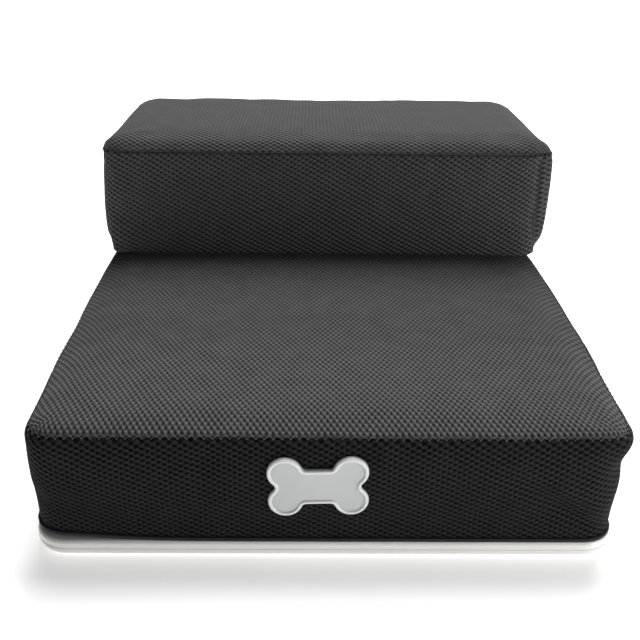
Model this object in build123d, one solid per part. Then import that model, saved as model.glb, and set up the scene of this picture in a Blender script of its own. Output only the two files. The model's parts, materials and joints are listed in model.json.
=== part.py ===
from build123d import *
import math
import os
from dataclasses import dataclass

os.makedirs("parts", exist_ok=True)

# Two-step pet stair that folds flat: two board boxes on a white tray, under zip-off mesh covers.
# Millimetres, +Z up, front towards -Y, origin on the floor under the middle of the tray.

# Outer sizes
BODY_WIDTH = 400.0
BODY_DEPTH = 534.0
LOWER_TOP = 100.0
UPPER_TOP_FRONT = 212.0
UPPER_TOP_REAR = 201.0
TREAD_DEPTH = 302.0
UPPER_LEFT = -205.0
UPPER_RIGHT = 208.0
SIDE_BULGE = 3.0

# Covers
MESH = 5.0
WALL_CLOTH = 6.0
SKIRT = 14.0
TOP_ROUND = 13.0
LOWER_CORNER = 22.0
UPPER_CORNER = 14.0
LOWER_FOAM = 8.0
UPPER_FOAM = 3.0
HEM_HEIGHT = 3.0
CLOTH_GAP = 0.3
WELT_RADIUS = 2.0
STRIP_THICKNESS = 0.5
STRIP_WIDTH = 25.0

# White base tray and its feet
RIM_PROUD = 3.0
TRAY_BOTTOM = 1.5
TRAY_FLOOR = 5.0
RIM_TOP = 13.5
RIM_EDGE = 3.0
RIM_FOOT_EDGE = 4.0
GROOVE_HEIGHT = 1.0
GROOVE_DEPTH = 0.5
GROOVE_Z = 7.2
FOOT_RADIUS = 14.0
FOOT_THICKNESS = 3.0
FOOT_FIT = 0.2
FOOT_X = 165.0
FOOT_Y = 230.0

# Boards and hinges
BOARD = 4.0
BASE_BOARD = 4.0
TOP_BOARD = 5.0
BOARD_HALF_WIDTH = 190.0
HINGE_LENGTH = 360.0
BOARD_CORNER = 16.0
KNUCKLES = 7
FLAP_KNUCKLES = 5
KNUCKLE_RADIUS = 2.6
KNUCKLE_GAP = 0.6
NOTCH_FIT = 0.4
PIN_RADIUS = 1.2
BORE_RADIUS = 1.25
AXIS_LIFT = 3.1
FACE_GAP = 0.25
EDGE_GAP = 0.2
FLAP_GAP = 0.5
FLAP_X = 186.0
SWEEP_GAP = 4.5
COVER_TO_HINGE = 1.0

# Badge
LOBE_RADIUS = 11.75
BADGE_WIDTH = 67.0
BADGE_HEIGHT = 46.0
SHANK_HEIGHT = 27.0
BADGE_BORDER = 2.2
BADGE_PLATE = 1.4
BADGE_RAISED = 2.4
BADGE_X = -6.0
BADGE_Z = 61.5
BADGE_TILT = -1.5

# Zipper along the rear hem
ZIP_Z = 23.0
TAPE_LENGTH = 350.0
TAPE_HEIGHT = 13.0
TAPE_THICKNESS = 0.8
COIL_LENGTH = 336.0
COIL_HEIGHT = 3.4
COIL_THICKNESS = 1.2
STOP_LENGTH = 3.0
SLIDER_X = -155.0
SLIDER_LENGTH = 9.0
SLIDER_HEIGHT = 7.6
SLIDER_PLATE = 1.0
SLIDER_CLEAR = 0.3
LUG_THICKNESS = 1.2
TAB_HEIGHT = 3.0
TAB_LENGTH = 21.0
TAB_THICKNESS = 1.0
TAB_EYE = 1.4
TAB_PIN = 0.6
TAB_BORE = 0.65

FRONT = -BODY_DEPTH / 2
REAR = BODY_DEPTH / 2
HALF_WIDTH = BODY_WIDTH / 2
UPPER_FRONT = FRONT + TREAD_DEPTH
BASE_TOP = TRAY_FLOOR + BASE_BOARD
UPPER_BASE = LOWER_TOP + 2 * STRIP_THICKNESS
HINGE_INSET = WALL_CLOTH + COVER_TO_HINGE + KNUCKLE_RADIUS + BOARD
ZIP_FACE = REAR + TAPE_THICKNESS
SLIDER_FACE = ZIP_FACE + COIL_THICKNESS + SLIDER_CLEAR
TAB_AXIS_Y = SLIDER_FACE + SLIDER_PLATE + TAB_EYE + SLIDER_CLEAR


@dataclass
class FoldingBox:
    """One collapsible box: front and rear walls fold in like a book, side flaps swing up under the top."""

    name: str
    board_top: float
    cover_front: float
    top_front: float
    top_rear: float
    foam: float

    @property
    def front_axis(self):
        """Y of the front wall's two outer hinge axes."""
        return self.cover_front + HINGE_INSET

    @property
    def rear_axis(self):
        """Y of the rear wall's two outer hinge axes."""
        return REAR - HINGE_INSET

    @property
    def low_axis(self):
        """Height of the hinge axes on the base board."""
        return self.board_top + AXIS_LIFT

    @property
    def top_underside(self):
        """Height of the top board's underside."""
        return self.top_rear - MESH - self.foam - TOP_BOARD

    @property
    def high_axis(self):
        """Height of the hinge axes under the top board."""
        return self.top_underside - AXIS_LIFT

    @property
    def leaf(self):
        """Height of one half of a folding wall, pivot to pivot."""
        return (self.high_axis - self.low_axis) / 2

    @property
    def drop(self):
        """How far the top comes down when the box is folded flat."""
        return 2 * (self.leaf - BOARD)

    @property
    def skirt(self):
        """Height of the lower edge of the cover top's skirt."""
        return self.top_rear - SKIRT


LOWER = FoldingBox("lower", BASE_TOP, FRONT, LOWER_TOP, LOWER_TOP, LOWER_FOAM)
UPPER = FoldingBox(
    "upper", UPPER_BASE + BASE_BOARD, UPPER_FRONT, UPPER_TOP_FRONT, UPPER_TOP_REAR, UPPER_FOAM
)


def rounded_slab(left, right, front, rear, bottom, top, corner):
    """Upright block between the given planes, with rounded vertical corners."""
    middle = Pos((left + right) / 2, (front + rear) / 2, bottom)
    return extrude(middle * RectangleRounded(right - left, rear - front, corner), top - bottom)


def block(left, right, front, rear, bottom, top):
    """Plain block between the given planes."""
    middle = Pos((left + right) / 2, (front + rear) / 2, (bottom + top) / 2)
    return middle * Box(right - left, rear - front, top - bottom)


def rod(radius, length):
    """Round bar along X, centred on the origin."""
    return Rot(0, 90, 0) * Cylinder(radius, length)


def knuckle_places(length, count, first):
    """X of every other knuckle of a hinge, counted from the given one."""
    pitch = length / count
    return [-length / 2 + pitch * (index + 0.5) for index in range(first, count, 2)]


def barrels(length, count, first, radius, gap):
    """Every other knuckle's barrel along X, each shorter than the pitch by the gap."""
    span = length / count - gap
    return [Pos(x, 0, 0) * rod(radius, span) for x in knuckle_places(length, count, first)]


def standing_knuckles(length, count):
    """A board's knuckles on their webs, with the axis on the origin and the board below."""
    span = length / count - KNUCKLE_GAP
    webs = [
        Pos(x, 0, -AXIS_LIFT / 2) * Box(span, 2 * KNUCKLE_RADIUS, AXIS_LIFT)
        for x in knuckle_places(length, count, 0)
    ]
    return Part() + webs + barrels(length, count, 0, KNUCKLE_RADIUS, KNUCKLE_GAP) - rod(BORE_RADIUS, length)


def hinged_edge(plate, place, length, count, first):
    """Gives a plate one half of a hinge at the place: its own barrels, and notches for the other half."""
    notches = barrels(length, count, 1 - first, KNUCKLE_RADIUS + NOTCH_FIT, 0)
    own = barrels(length, count, first, KNUCKLE_RADIUS, KNUCKLE_GAP)
    edge = plate - [place * notch for notch in notches] + [place * barrel for barrel in own]
    return edge - place * rod(BORE_RADIUS, length + BOARD)


def wall_half(height, middle_first):
    """Half a folding wall: its inner face on Y = 0, its own pivot on the origin, the middle hinge above."""
    thickness = BOARD - FACE_GAP
    plate = Pos(0, thickness / 2, height / 2) * Box(HINGE_LENGTH, thickness, height - 2 * EDGE_GAP)
    plate = hinged_edge(plate, Pos(0, 0, 0), HINGE_LENGTH, KNUCKLES, 1)
    return hinged_edge(plate, Pos(0, BOARD, height), HINGE_LENGTH, KNUCKLES, middle_first)


def side_flap(length, height):
    """Side wall: its inner face on Y = 0, hung from knuckles on the origin."""
    thickness = BOARD - FACE_GAP
    tall = height - EDGE_GAP
    plate = Pos(0, thickness / 2, -EDGE_GAP - tall / 2) * Box(length, thickness, tall)
    return hinged_edge(plate, Pos(0, 0, 0), length, FLAP_KNUCKLES, 1)


def flap_span(box):
    """Front and rear ends of a box's side flaps, clear of the folding walls' sweep."""
    reach = box.leaf + KNUCKLE_RADIUS + SWEEP_GAP
    return box.front_axis + reach, box.rear_axis - reach


def base_board(box, bottom):
    """Base board of a box, with the lower knuckles of the front and rear walls."""
    front = box.cover_front + WALL_CLOTH + COVER_TO_HINGE
    rear = REAR - WALL_CLOTH - COVER_TO_HINGE
    board = rounded_slab(-BOARD_HALF_WIDTH, BOARD_HALF_WIDTH, front, rear, bottom, box.board_top, BOARD_CORNER)
    knuckles = standing_knuckles(HINGE_LENGTH, KNUCKLES)
    return board + Pos(0, box.front_axis, box.low_axis) * knuckles + Pos(0, box.rear_axis, box.low_axis) * knuckles


def top_board(box):
    """Top board of a box, with the knuckles of its walls and side flaps underneath."""
    front = box.cover_front + WALL_CLOTH + COVER_TO_HINGE
    rear = REAR - WALL_CLOTH - COVER_TO_HINGE
    underside = box.top_underside
    top = underside + TOP_BOARD
    board = rounded_slab(-BOARD_HALF_WIDTH, BOARD_HALF_WIDTH, front, rear, underside, top, BOARD_CORNER)
    wall_knuckles = Rot(0, 180, 0) * standing_knuckles(HINGE_LENGTH, KNUCKLES)
    flap_front, flap_rear = flap_span(box)
    middle = (flap_front + flap_rear) / 2
    flap_knuckles = Rot(0, 0, 90) * Rot(0, 180, 0) * standing_knuckles(flap_rear - flap_front, FLAP_KNUCKLES)
    for y in (box.front_axis, box.rear_axis):
        board = board + Pos(0, y, box.high_axis) * wall_knuckles
    for x in (-FLAP_X, FLAP_X):
        board = board + Pos(x, middle, box.high_axis) * flap_knuckles
    return board


def folding_walls(box):
    """The four wall halves and the two side flaps of a box."""
    low = wall_half(box.leaf, 0)
    high = Rot(0, 180, 0) * wall_half(box.leaf, 1)
    flap_front, flap_rear = flap_span(box)
    middle = (flap_front + flap_rear) / 2
    flap = side_flap(flap_rear - flap_front, 2 * box.leaf + AXIS_LIFT - FLAP_GAP)
    turned = Rot(0, 0, 180)
    return {
        f"{box.name}_rear_wall_low": Pos(0, box.rear_axis, box.low_axis) * low,
        f"{box.name}_rear_wall_high": Pos(0, box.rear_axis, box.high_axis) * high,
        f"{box.name}_front_wall_low": Pos(0, box.front_axis, box.low_axis) * turned * low,
        f"{box.name}_front_wall_high": Pos(0, box.front_axis, box.high_axis) * turned * high,
        f"{box.name}_left_flap": Pos(-FLAP_X, middle, box.high_axis) * Rot(0, 0, 90) * flap,
        f"{box.name}_right_flap": Pos(FLAP_X, middle, box.high_axis) * Rot(0, 0, -90) * flap,
    }


def hinge_pins(box):
    """Steel pins of a box: on the base board, in the two wall middles, and under the top board."""
    pin = rod(PIN_RADIUS, HINGE_LENGTH)
    flap_front, flap_rear = flap_span(box)
    flap_pin = Rot(0, 0, 90) * rod(PIN_RADIUS, flap_rear - flap_front)
    middle = (flap_front + flap_rear) / 2
    waist = box.low_axis + box.leaf
    top_pins = [Pos(0, y, box.high_axis) * pin for y in (box.front_axis, box.rear_axis)]
    top_pins += [Pos(x, middle, box.high_axis) * flap_pin for x in (-FLAP_X, FLAP_X)]
    return {
        f"{box.name}_base_hinge_pins": [Pos(0, y, box.low_axis) * pin for y in (box.front_axis, box.rear_axis)],
        f"{box.name}_front_waist_pin": [Pos(0, box.front_axis - BOARD, waist) * pin],
        f"{box.name}_rear_waist_pin": [Pos(0, box.rear_axis + BOARD, waist) * pin],
        f"{box.name}_top_hinge_pins": top_pins,
    }


def under_top(box, left, right, bottom, depth):
    """Block from the given height up to the plane of a box's top, or to the given depth below it."""
    outline = Polyline(
        (box.cover_front, bottom),
        (REAR, bottom),
        (REAR, box.top_rear - depth),
        (box.cover_front, box.top_front - depth),
        close=True,
    )
    return Pos(left, 0, 0) * extrude(Plane.YZ * make_face(outline), right - left)


def foam_pad(box, left, right, corner):
    """Foam pad lying on a box's top board under the cover, level below and following the top above."""
    bottom = box.top_underside + TOP_BOARD
    front = box.cover_front + WALL_CLOTH
    rear = REAR - WALL_CLOTH
    pad = rounded_slab(left, right, front, rear, bottom, box.top_front, corner - WALL_CLOTH)
    return pad & under_top(box, left, right, bottom, MESH)


def cover_top(box, left, right, corner):
    """Top of a mesh cover with its short rounded skirt, hollow for the pad and board."""
    cap = rounded_slab(left, right, box.cover_front, REAR, box.skirt, box.top_front, corner)
    cap = cap & under_top(box, left, right, box.skirt, 0)
    cap = fillet(cap.faces().sort_by(Axis.Z)[-1].edges(), TOP_ROUND)
    hollow = rounded_slab(
        left + WALL_CLOTH,
        right - WALL_CLOTH,
        box.cover_front + WALL_CLOTH,
        REAR - WALL_CLOTH,
        box.skirt,
        box.top_front,
        corner - WALL_CLOTH,
    )
    return cap - (hollow & under_top(box, left, right, box.skirt, MESH))


def cover_walls(box, left, right, corner, bottom):
    """Four sewn side walls of a mesh cover, one closed band up to the skirt."""
    top = box.skirt - CLOTH_GAP
    outer = rounded_slab(left, right, box.cover_front, REAR, bottom, top, corner)
    inner = rounded_slab(
        left + WALL_CLOTH,
        right - WALL_CLOTH,
        box.cover_front + WALL_CLOTH,
        REAR - WALL_CLOTH,
        bottom,
        top,
        corner - WALL_CLOTH,
    )
    return outer - inner


def side_swell():
    """Full right side of the upper cover, a shallow bow between its two corners."""
    bottom = UPPER_BASE
    top = UPPER.skirt - CLOTH_GAP
    front = Vector(UPPER_RIGHT, UPPER_FRONT + UPPER_CORNER, bottom)
    rear = Vector(UPPER_RIGHT, REAR - UPPER_CORNER, bottom)
    crown = Vector(UPPER_RIGHT + SIDE_BULGE, (front.Y + rear.Y) / 2, bottom)
    outline = ThreePointArc(front, crown, rear) + Line(rear, front)
    return extrude(make_face(outline), top - bottom, dir=(0, 0, 1))


def corner_welts():
    """Piping up the two seams of the upper cover's right side."""
    top = UPPER.skirt - CLOTH_GAP
    reach = (UPPER_CORNER + WELT_RADIUS) * math.sqrt(0.5)
    x = UPPER_RIGHT - UPPER_CORNER + reach
    centres = (UPPER_FRONT + UPPER_CORNER - reach, REAR - UPPER_CORNER + reach)
    height = top - UPPER_BASE
    return [Pos(x, y, UPPER_BASE + height / 2) * Cylinder(WELT_RADIUS, height) for y in centres]


def base_tray():
    """White moulded tray: a floor, a rounded rim with a groove round its waist, and pockets for the feet."""
    half_x = HALF_WIDTH + RIM_PROUD
    half_y = REAR + RIM_PROUD
    corner = LOWER_CORNER + RIM_PROUD
    tray = rounded_slab(-half_x, half_x, -half_y, half_y, TRAY_BOTTOM, RIM_TOP, corner)
    tray = fillet(tray.edges().group_by(Axis.Z)[-1], RIM_EDGE)
    tray = fillet(tray.edges().group_by(Axis.Z)[0], RIM_FOOT_EDGE)
    inner_x = HALF_WIDTH - WALL_CLOTH
    inner_y = REAR - WALL_CLOTH
    pocket = rounded_slab(-inner_x, inner_x, -inner_y, inner_y, TRAY_FLOOR, RIM_TOP, LOWER_CORNER - WALL_CLOTH)
    ring_top = GROOVE_Z + GROOVE_HEIGHT
    around = rounded_slab(-half_x, half_x, -half_y, half_y, GROOVE_Z, ring_top, corner)
    waist_x = half_x - GROOVE_DEPTH
    waist_y = half_y - GROOVE_DEPTH
    waist = rounded_slab(-waist_x, waist_x, -waist_y, waist_y, GROOVE_Z, ring_top, corner - GROOVE_DEPTH)
    sockets = [Pos(0, 0, TRAY_BOTTOM) * disc for disc in foot_discs(FOOT_RADIUS + FOOT_FIT, 2 * TRAY_BOTTOM)]
    return tray - pocket - (around - waist) - sockets


def foot_discs(radius, thickness):
    """Five discs on the plane Z = 0: one near each corner and one in the middle."""
    centres = [(0, 0)] + [(x, y) for x in (-FOOT_X, FOOT_X) for y in (-FOOT_Y, FOOT_Y)]
    return [Pos(x, y, 0) * Cylinder(radius, thickness) for x, y in centres]


def foot_pads():
    """Anti-slip rubber discs set in the tray's underside."""
    return [Pos(0, 0, FOOT_THICKNESS / 2) * disc for disc in foot_discs(FOOT_RADIUS, FOOT_THICKNESS)]


def hem_binding():
    """Bound lower hem of the lower cover, standing on the tray's rim."""
    outer = rounded_slab(-HALF_WIDTH, HALF_WIDTH, FRONT, REAR, RIM_TOP, RIM_TOP + HEM_HEIGHT, LOWER_CORNER)
    inner = rounded_slab(
        WALL_CLOTH - HALF_WIDTH,
        HALF_WIDTH - WALL_CLOTH,
        FRONT + WALL_CLOTH,
        REAR - WALL_CLOTH,
        RIM_TOP,
        RIM_TOP + HEM_HEIGHT,
        LOWER_CORNER - WALL_CLOTH,
    )
    return outer - inner


def bone_outline(lobe, shank):
    """Bone shape in the XZ plane: four lobes on the corners of a bar."""
    across = BADGE_WIDTH / 2 - LOBE_RADIUS
    up = BADGE_HEIGHT / 2 - LOBE_RADIUS
    outline = Rectangle(2 * across, shank)
    for x in (-across, across):
        for y in (-up, up):
            outline = outline + Pos(x, y) * Circle(lobe)
    return Rot(90, 0, 0) * outline


def badge(outline, inner_face, outer_face):
    """Raises a bone outline on the front wall between two distances from it."""
    place = Pos(BADGE_X, FRONT - inner_face, BADGE_Z) * Rot(0, BADGE_TILT, 0)
    return extrude(place * outline, outer_face - inner_face, dir=(0, -1, 0))


def bone_plate():
    """Plain bone-shaped patch on the front wall."""
    return badge(bone_outline(LOBE_RADIUS, SHANK_HEIGHT), 0, BADGE_PLATE)


def bone_rim():
    """Raised border of the patch."""
    outer = badge(bone_outline(LOBE_RADIUS, SHANK_HEIGHT), BADGE_PLATE, BADGE_RAISED)
    inner = badge(bone_outline(LOBE_RADIUS - BADGE_BORDER, SHANK_HEIGHT - 2 * BADGE_BORDER), 0, BADGE_RAISED)
    return outer - inner


def on_rear_hem(length, inner_y, outer_y, height, x=0.0):
    """Bar along the rear hem between two planes, centred on the zipper's height."""
    return block(x - length / 2, x + length / 2, inner_y, outer_y, ZIP_Z - height / 2, ZIP_Z + height / 2)


def zipper_stops():
    """End stops of the zipper."""
    x = (COIL_LENGTH + STOP_LENGTH) / 2
    outer = ZIP_FACE + COIL_THICKNESS
    return [on_rear_hem(STOP_LENGTH, ZIP_FACE, outer, COIL_HEIGHT, side) for side in (-x, x)]


def zipper_slider():
    """Slider: a plate over the coil with two side flanges, and two lugs that hold the tab's pin."""
    outer = SLIDER_FACE + SLIDER_PLATE
    plate = on_rear_hem(SLIDER_LENGTH, SLIDER_FACE, outer, SLIDER_HEIGHT, SLIDER_X)
    plate = fillet(plate.edges().filter_by(Axis.Y), 2.0)
    flange = (SLIDER_HEIGHT - COIL_HEIGHT) / 2 - SLIDER_CLEAR
    body = plate
    for side in (-1, 1):
        z = ZIP_Z + side * (SLIDER_HEIGHT - flange) / 2
        half = SLIDER_LENGTH / 2 - 2.0
        rail = block(
            SLIDER_X - half, SLIDER_X + half, ZIP_FACE + SLIDER_CLEAR, SLIDER_FACE, z - flange / 2, z + flange / 2
        )
        lug_z = ZIP_Z + side * (TAB_HEIGHT + LUG_THICKNESS + SLIDER_CLEAR) / 2
        lug = Pos(SLIDER_X, TAB_AXIS_Y, lug_z) * Cylinder(TAB_EYE, LUG_THICKNESS)
        neck = block(
            SLIDER_X - TAB_EYE,
            SLIDER_X + TAB_EYE,
            outer,
            TAB_AXIS_Y,
            lug_z - LUG_THICKNESS / 2,
            lug_z + LUG_THICKNESS / 2,
        )
        body = body + rail + lug + neck
    pin = Pos(SLIDER_X, TAB_AXIS_Y, ZIP_Z) * Cylinder(TAB_PIN, TAB_HEIGHT + LUG_THICKNESS)
    return body + pin


def pull_tab():
    """Flat pull tab with an eye on the slider's pin and a rounded grip end."""
    eye = Pos(SLIDER_X, TAB_AXIS_Y, ZIP_Z) * Cylinder(TAB_EYE, TAB_HEIGHT - SLIDER_CLEAR)
    neck_end = SLIDER_X + SLIDER_LENGTH / 2
    tip = SLIDER_X + TAB_LENGTH
    near = TAB_AXIS_Y - TAB_THICKNESS / 2
    far = TAB_AXIS_Y + TAB_THICKNESS / 2
    slim = (TAB_HEIGHT - SLIDER_CLEAR) / 2
    neck = block(SLIDER_X, neck_end, near, far, ZIP_Z - slim, ZIP_Z + slim)
    grip = block(neck_end, tip, near, far, ZIP_Z - TAB_HEIGHT, ZIP_Z + TAB_HEIGHT)
    grip = fillet(grip.edges().filter_by(Axis.Y), 1.4)
    bore = Pos(SLIDER_X, TAB_AXIS_Y, ZIP_Z) * Cylinder(TAB_BORE, TAB_HEIGHT)
    return eye + neck + grip - bore


def fastening_strips(bottom):
    """Two strips of hook-and-loop tape between the lower tread and the upper box."""
    strips = []
    for x in (-BOARD_HALF_WIDTH / 2, BOARD_HALF_WIDTH / 2):
        front = UPPER.front_axis + STRIP_WIDTH
        rear = UPPER.rear_axis - STRIP_WIDTH
        strips.append(block(x - STRIP_WIDTH / 2, x + STRIP_WIDTH / 2, front, rear, bottom, bottom + STRIP_THICKNESS))
    return strips


def all_parts():
    """Every node of the stair, by name."""
    nodes = {
        "base_tray": base_tray(),
        "foot_pads": foot_pads(),
        "hem_binding": hem_binding(),
        "lower_base_board": base_board(LOWER, TRAY_FLOOR),
        "upper_base_board": base_board(UPPER, UPPER_BASE),
        "loop_strips": fastening_strips(LOWER_TOP),
        "hook_strips": fastening_strips(LOWER_TOP + STRIP_THICKNESS),
        "lower_foam_pad": foam_pad(LOWER, WALL_CLOTH - HALF_WIDTH, HALF_WIDTH - WALL_CLOTH, LOWER_CORNER),
        "upper_foam_pad": foam_pad(UPPER, UPPER_LEFT + WALL_CLOTH, UPPER_RIGHT - WALL_CLOTH, UPPER_CORNER),
        "lower_cover_top": cover_top(LOWER, -HALF_WIDTH, HALF_WIDTH, LOWER_CORNER),
        "upper_cover_top": cover_top(UPPER, UPPER_LEFT, UPPER_RIGHT, UPPER_CORNER),
        "lower_cover_walls": cover_walls(LOWER, -HALF_WIDTH, HALF_WIDTH, LOWER_CORNER, RIM_TOP + HEM_HEIGHT),
        "upper_cover_walls": cover_walls(UPPER, UPPER_LEFT, UPPER_RIGHT, UPPER_CORNER, UPPER_BASE) + side_swell(),
        "upper_corner_welts": corner_welts(),
        "bone_badge": bone_plate(),
        "badge_rim": bone_rim(),
        "zipper_tape": on_rear_hem(TAPE_LENGTH, REAR, ZIP_FACE, TAPE_HEIGHT),
        "zipper_coil": on_rear_hem(COIL_LENGTH, ZIP_FACE, ZIP_FACE + COIL_THICKNESS, COIL_HEIGHT),
        "zipper_stops": zipper_stops(),
        "zipper_slider": zipper_slider(),
        "pull_tab": pull_tab(),
    }
    for box in (LOWER, UPPER):
        nodes[f"{box.name}_top_board"] = top_board(box)
        nodes.update(folding_walls(box))
        nodes.update(hinge_pins(box))
    return nodes


for node, shape in all_parts().items():
    solids = shape if isinstance(shape, list) else [shape]
    export_step(Compound(label=node, children=[part for part in solids]), f"parts/{node}.step")
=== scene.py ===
"""Looks of the folding two-step pet stair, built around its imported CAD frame.

Shapes are worked out in millimetres and written to the meshes in metres, with +Z up and the front towards -Y.
"""

import json
import logging
import math
from dataclasses import dataclass
from enum import Enum

import bmesh
import bpy
import numpy as np
from mathutils import Euler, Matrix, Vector


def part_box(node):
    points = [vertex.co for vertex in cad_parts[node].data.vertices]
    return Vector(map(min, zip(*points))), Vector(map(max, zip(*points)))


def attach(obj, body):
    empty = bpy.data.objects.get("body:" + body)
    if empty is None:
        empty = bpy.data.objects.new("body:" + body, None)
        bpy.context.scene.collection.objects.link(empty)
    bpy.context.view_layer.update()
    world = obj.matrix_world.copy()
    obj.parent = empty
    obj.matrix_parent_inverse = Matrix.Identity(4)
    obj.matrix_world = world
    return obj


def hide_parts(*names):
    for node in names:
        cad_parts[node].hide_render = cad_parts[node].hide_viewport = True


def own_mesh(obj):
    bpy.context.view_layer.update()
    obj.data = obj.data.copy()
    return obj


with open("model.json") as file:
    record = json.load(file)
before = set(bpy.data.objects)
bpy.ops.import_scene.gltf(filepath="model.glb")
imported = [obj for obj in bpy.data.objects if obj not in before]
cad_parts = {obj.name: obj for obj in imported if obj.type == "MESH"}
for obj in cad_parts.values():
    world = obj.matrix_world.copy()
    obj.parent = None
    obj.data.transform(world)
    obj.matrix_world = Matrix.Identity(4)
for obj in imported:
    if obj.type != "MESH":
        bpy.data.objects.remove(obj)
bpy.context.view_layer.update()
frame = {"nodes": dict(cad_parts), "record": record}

Array = np.ndarray
Colour = tuple[float, float, float]
Place = tuple[float, float, float]

LOG = logging.getLogger("pet_stair")
MM = 0.001
SEED = 41

LOWER_DROP = 58.8
UPPER_DROP = 68.8
LOWER_ANCHOR = 13.5
UPPER_ANCHOR = 101.0


class Fold(Enum):
    """The joints that flatten the boxes: joint, height the walls stand on, how far the top comes down."""

    LOWER = ("lower_fold", LOWER_ANCHOR, LOWER_DROP)
    UPPER = ("upper_fold", UPPER_ANCHOR, UPPER_DROP)

    def squash(self, piece: bpy.types.Object, top: float) -> None:
        """Gives a wall piece its own copy of its mesh.

        Args:
            piece: the object.
            top: not used.
        """
        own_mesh(piece)


class Facing(Enum):
    """Which side of a grid is its outside."""

    ALONG = 0
    AGAINST = 1


# ---------------------------------------------------------------- arrays and meshes


def smoothstep(low: float, high: float, value: Array) -> Array:
    """Rises smoothly from 0 at low to 1 at high."""
    share = np.clip((value - low) / (high - low), 0.0, 1.0)
    return share * share * (3.0 - 2.0 * share)


def hump(centre: float, width: float, value: Array) -> Array:
    """Bell curve of height 1 around a centre."""
    return np.exp(-(((value - centre) / width) ** 2))


def unevenness(points: Array, wavelength: float, seed: int) -> Array:
    """Gentle unevenness of hand-sewn cloth: the mean of eight plane waves in seeded directions.

    Args:
        points: places in millimetres, last axis of three.
        wavelength: mean length of a wave in millimetres.
        seed: picks the directions and phases.

    Returns:
        One value between -1 and 1 for each point.
    """
    random = np.random.default_rng(seed)
    ways = random.normal(size=(8, 3))
    lengths = np.linalg.norm(ways, axis=1)[:, None]
    ways *= (2 * math.pi / wavelength) * random.uniform(0.6, 1.5, (8, 1)) / lengths
    phases = random.uniform(0, 2 * math.pi, 8)
    return np.sin(points @ ways.T + phases).mean(axis=-1) * 1.6


def grid_faces(rows: int, columns: int, facing: Facing) -> Array:
    """Quads of an open grid whose points are numbered row by row.

    Args:
        rows: number of rows.
        columns: number of points in a row.
        facing: which side is the outside.

    Returns:
        Four corner numbers for each face.
    """
    corner = (np.arange(rows - 1)[:, None] * columns + np.arange(columns - 1)[None, :]).reshape(-1, 1)
    ring = np.array([0, 1, columns + 1, columns])
    return corner + (ring if facing is Facing.ALONG else ring[::-1])


def mesh_object(name: str, points: Array, faces: Array) -> bpy.types.Object:
    """Makes a smooth-shaded mesh of quads.

    Args:
        name: name of the piece.
        points: corners in millimetres, (count, 3).
        faces: four corner numbers for each face.

    Returns:
        The new object, linked to the scene at the origin.
    """
    mesh = bpy.data.meshes.new(name)
    mesh.vertices.add(len(points))
    mesh.vertices.foreach_set("co", (points * MM).astype(np.float32).ravel())
    mesh.loops.add(faces.size)
    mesh.loops.foreach_set("vertex_index", faces.astype(np.int32).ravel())
    mesh.polygons.add(len(faces))
    mesh.polygons.foreach_set("loop_start", np.arange(0, faces.size, 4, dtype=np.int32))
    mesh.update(calc_edges=True)
    mesh.shade_smooth()
    piece = bpy.data.objects.new(name, mesh)
    bpy.context.scene.collection.objects.link(piece)
    return piece


def merge_doubles(piece: bpy.types.Object) -> None:
    """Joins points that lie on each other, which closes a surface's seams and poles.

    Args:
        piece: the object.
    """
    work = bmesh.new()
    work.from_mesh(piece.data)
    bmesh.ops.remove_doubles(work, verts=work.verts, dist=2e-6)
    work.to_mesh(piece.data)
    work.free()


@dataclass
class Patch:
    """Grid surface: points (rows, columns, 3) and cloth coordinates (rows, columns, 2), in millimetres."""

    points: Array
    cloth: Array
    facing: Facing

    def build(self, name: str) -> bpy.types.Object:
        """Makes the mesh with its cloth coordinates in a UV map, and closes it where its edges meet.

        Args:
            name: name of the piece.

        Returns:
            The new object.
        """
        rows, columns = self.points.shape[:2]
        faces = grid_faces(rows, columns, self.facing)
        piece = mesh_object(name, self.points.reshape(-1, 3), faces)
        layer = piece.data.uv_layers.new(name="cloth")
        layer.data.foreach_set("uv", self.cloth.reshape(-1, 2)[faces].astype(np.float32).ravel())
        merge_doubles(piece)
        return piece


def sweep(path: Array, out: Array, up: Array, profile: Array, closed: bool) -> tuple[Array, Array]:
    """Carries a closed profile along one or more paths.

    The surface is path(i) + profile_x(j) * out(i) + profile_y(j) * up(i), j going once round the profile.

    Args:
        path: centres, (paths, steps, 3).
        out: unit vectors for the profile's first axis, same shape.
        up: unit vectors for its second axis, same shape.
        profile: (sides, 2), or (steps, sides, 2) where it changes along the path.
        closed: whether the last step joins the first. Open ends are brought to a point by the profile itself.

    Returns:
        Points (count, 3) and faces (count, 4).
    """
    paths, steps = path.shape[:2]
    shape = np.broadcast_to(profile, (steps, *profile.shape[-2:]))
    sides = shape.shape[1]
    aside = shape[None, :, :, :1] * out[:, :, None]
    points = path[:, :, None] + aside + shape[None, :, :, 1:] * up[:, :, None]
    step = np.arange(steps if closed else steps - 1)[:, None]
    side = np.arange(sides)[None, :]
    after, beside = (step + 1) % steps, (side + 1) % sides
    ring = [step * sides + side, step * sides + beside, after * sides + beside, after * sides + side]
    faces = np.stack(np.broadcast_arrays(*ring), -1).reshape(-1, 4)
    faces = np.arange(paths)[:, None, None] * (steps * sides) + faces[None]
    return points.reshape(-1, 3), faces.reshape(-1, 4)


def circle(radius: float, sides: int) -> Array:
    """Points round a circle, (sides, 2)."""
    turn = np.linspace(0, 2 * math.pi, sides, endpoint=False)
    return radius * np.stack([np.cos(turn), np.sin(turn)], -1)


# ---------------------------------------------------------------- finishes


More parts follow.
